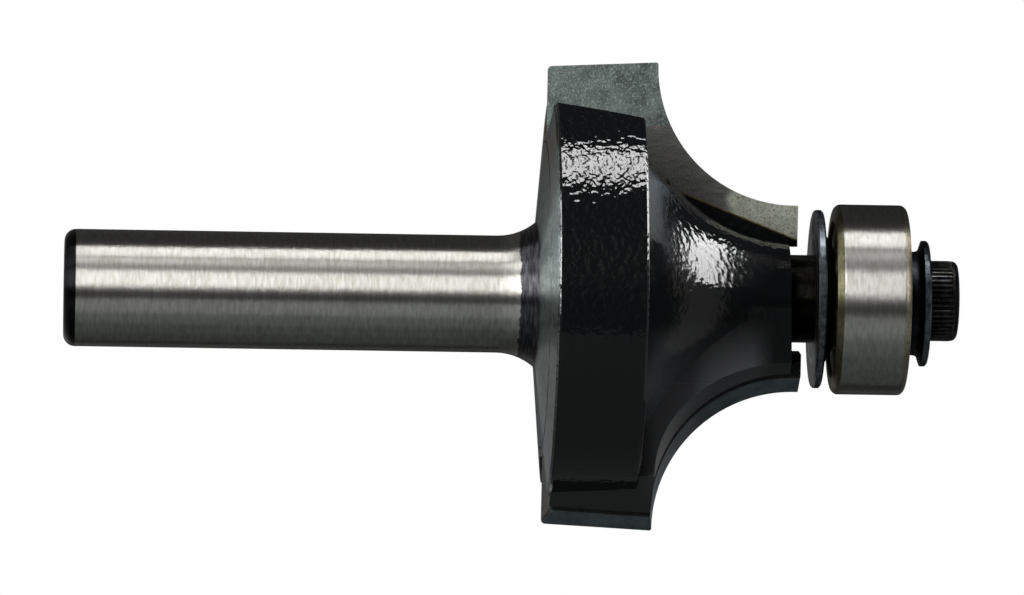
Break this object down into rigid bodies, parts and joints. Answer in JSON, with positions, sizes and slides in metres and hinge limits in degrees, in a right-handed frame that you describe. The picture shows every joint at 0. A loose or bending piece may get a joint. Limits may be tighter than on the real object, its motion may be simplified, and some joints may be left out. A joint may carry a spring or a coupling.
{
  "type": "rounding-over router bit",
  "caption": "Carbide-tipped rounding-over router bit with a straight shank, a black turned head, a pilot bearing between two washers and a knurled cap screw.",
  "frame": {"origin": "centre of the shank's end face, on the tool axis", "axes": "+Z along the tool axis from the shank end to the screw head; +X and -X out through the two cutting wings, whose rake faces are parallel to the XZ plane; +Y completes the frame"},
  "size_m": [0.0318, 0.028, 0.061],
  "materials": {
    "tool_steel": "ground bare shank, black glossy paint on the head",
    "carbide": "ground and blasted tungsten carbide, mottled grey",
    "braze": "brazing alloy",
    "black_oxide": "black oxide, satin",
    "bearing_steel": "fine ground",
    "ball_steel": "polished",
    "cage_steel": "pressed sheet",
    "seal_rubber": "moulded, matt"
  },
  "bodies": {
    "root": {"cutter_body": "tool_steel", "carbide_tip_a": "carbide", "carbide_tip_b": "carbide", "braze_a": "braze", "braze_b": "braze", "rear_washer": "black_oxide", "front_washer": "black_oxide", "cap_screw": "black_oxide", "inner_ring": "bearing_steel"},
    "outer_ring_body": {"outer_ring": "bearing_steel", "rear_seal": "seal_rubber", "front_seal": "seal_rubber"},
    "cage_body": {"cage_rear": "cage_steel", "cage_front": "cage_steel", "cage_rivets": "cage_steel"},
    "ball_1_body": {"ball_1": "ball_steel"},
    "ball_2_body": {"ball_2": "ball_steel"},
    "ball_3_body": {"ball_3": "ball_steel"},
    "ball_4_body": {"ball_4": "ball_steel"},
    "ball_5_body": {"ball_5": "ball_steel"},
    "ball_6_body": {"ball_6": "ball_steel"},
    "ball_7_body": {"ball_7": "ball_steel"}
  },
  "joints": [
    {"name": "outer_ring_spin", "type": "hinge", "parent": "root", "child": "outer_ring_body", "pos_m": [0, 0, 0.05496], "axis": [0, 0, 1], "continuous": true},
    {"name": "cage_spin", "type": "hinge", "parent": "root", "child": "cage_body", "pos_m": [0, 0, 0.05496], "axis": [0, 0, 1], "continuous": true},
    {"name": "ball_1_spin", "type": "hinge", "parent": "cage_body", "child": "ball_1_body", "pos_m": [0.00414, 0.00095, 0.05496], "axis": [0, 0, 1], "continuous": true},
    {"name": "ball_2_spin", "type": "hinge", "parent": "cage_body", "child": "ball_2_body", "pos_m": [0.00184, 0.00383, 0.05496], "axis": [0, 0, 1], "continuous": true},
    {"name": "ball_3_spin", "type": "hinge", "parent": "cage_body", "child": "ball_3_body", "pos_m": [-0.00184, 0.00383, 0.05496], "axis": [0, 0, 1], "continuous": true},
    {"name": "ball_4_spin", "type": "hinge", "parent": "cage_body", "child": "ball_4_body", "pos_m": [-0.00414, 0.00095, 0.05496], "axis": [0, 0, 1], "continuous": true},
    {"name": "ball_5_spin", "type": "hinge", "parent": "cage_body", "child": "ball_5_body", "pos_m": [-0.00332, -0.00265, 0.05496], "axis": [0, 0, 1], "continuous": true},
    {"name": "ball_6_spin", "type": "hinge", "parent": "cage_body", "child": "ball_6_body", "pos_m": [0, -0.00425, 0.05496], "axis": [0, 0, 1], "continuous": true},
    {"name": "ball_7_spin", "type": "hinge", "parent": "cage_body", "child": "ball_7_body", "pos_m": [0.00332, -0.00265, 0.05496], "axis": [0, 0, 1], "continuous": true}
  ],
  "couplings": [
    {"joint": "cage_spin", "follows": "outer_ring_spin", "ratio": 0.64006},
    {"joint": "ball_1_spin", "follows": "outer_ring_spin", "ratio": 1.6449},
    {"joint": "ball_2_spin", "follows": "outer_ring_spin", "ratio": 1.6449},
    {"joint": "ball_3_spin", "follows": "outer_ring_spin", "ratio": 1.6449},
    {"joint": "ball_4_spin", "follows": "outer_ring_spin", "ratio": 1.6449},
    {"joint": "ball_5_spin", "follows": "outer_ring_spin", "ratio": 1.6449},
    {"joint": "ball_6_spin", "follows": "outer_ring_spin", "ratio": 1.6449},
    {"joint": "ball_7_spin", "follows": "outer_ring_spin", "ratio": 1.6449}
  ]
}
